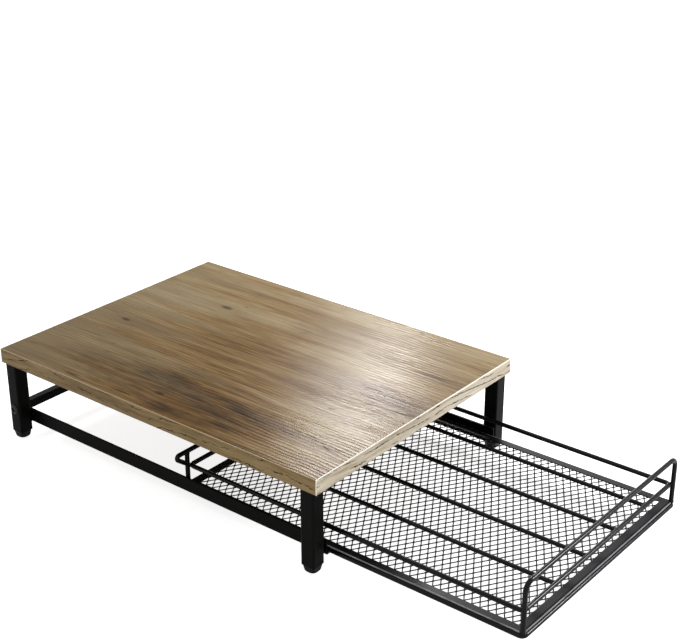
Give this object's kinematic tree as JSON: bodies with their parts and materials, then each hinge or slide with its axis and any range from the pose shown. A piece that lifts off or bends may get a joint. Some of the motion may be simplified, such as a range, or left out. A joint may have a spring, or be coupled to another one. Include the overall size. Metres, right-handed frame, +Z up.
{
  "type": "coffee pod drawer",
  "caption": "Low wooden-topped stand on square tube legs with a black wire drawer on side rails that holds coffee pods in lanes on a mesh floor.",
  "frame": {"origin": "on the ground under the centre of the whole part, with the drawer pulled out as drawn", "axes": "+Z up, +Y to the rear, +X to the right seen from the front; the drawer opens towards -Y"},
  "size_m": [0.3016, 0.608, 0.098],
  "materials": {
    "board_face": "wood-grain laminate, satin",
    "board_end": "pale wood-grain edge band, satin",
    "board_side": "brown wood-grain edge band, satin",
    "frame": "matte black powder coat",
    "drawer_wire": "satin black powder coat",
    "mesh": "matte black powder coat",
    "foot": "matte black moulded",
    "zinc": "zinc plated",
    "bolt": "black oxide"
  },
  "bodies": {
    "stand": {"board": "board_face", "edge_band_front": "board_end", "edge_band_rear": "board_end", "edge_band_left": "board_side", "edge_band_right": "board_side", "leg_front_left": "frame", "leg_front_right": "frame", "leg_rear_left": "frame", "leg_rear_right": "frame", "foot_front_left": "foot", "foot_front_right": "foot", "foot_rear_left": "foot", "foot_rear_right": "foot", "leg_tab_front_left": "frame", "leg_tab_front_right": "frame", "leg_tab_rear_left": "frame", "leg_tab_rear_right": "frame", "tab_screws": "zinc", "rail_left": "frame", "rail_right": "frame", "rail_pads_left": "frame", "rail_pads_right": "frame", "rear_crossbar": "frame", "crossbar_insert_left": "zinc", "crossbar_insert_right": "zinc", "crossbar_bolt_left": "bolt", "crossbar_bolt_right": "bolt"},
    "drawer": {"base_loop": "drawer_wire", "rim_strip_front": "drawer_wire", "rim_strip_rear": "drawer_wire", "rim_strip_left": "drawer_wire", "rim_strip_right": "drawer_wire", "mesh_lower_strands": "mesh", "mesh_upper_strands": "mesh", "mid_loop": "drawer_wire", "front_hoop": "drawer_wire", "rear_post_left": "drawer_wire", "rear_post_right": "drawer_wire", "stop_wire": "drawer_wire", "lane_wire_1": "drawer_wire", "lane_wire_2": "drawer_wire", "lane_wire_3": "drawer_wire", "lane_wire_4": "drawer_wire"}
  },
  "joints": [
    {"name": "drawer_slide", "type": "slide", "parent": "stand", "child": "drawer", "axis": [0, -1, 0], "range_m": [-0.213, 0.1545]}
  ]
}
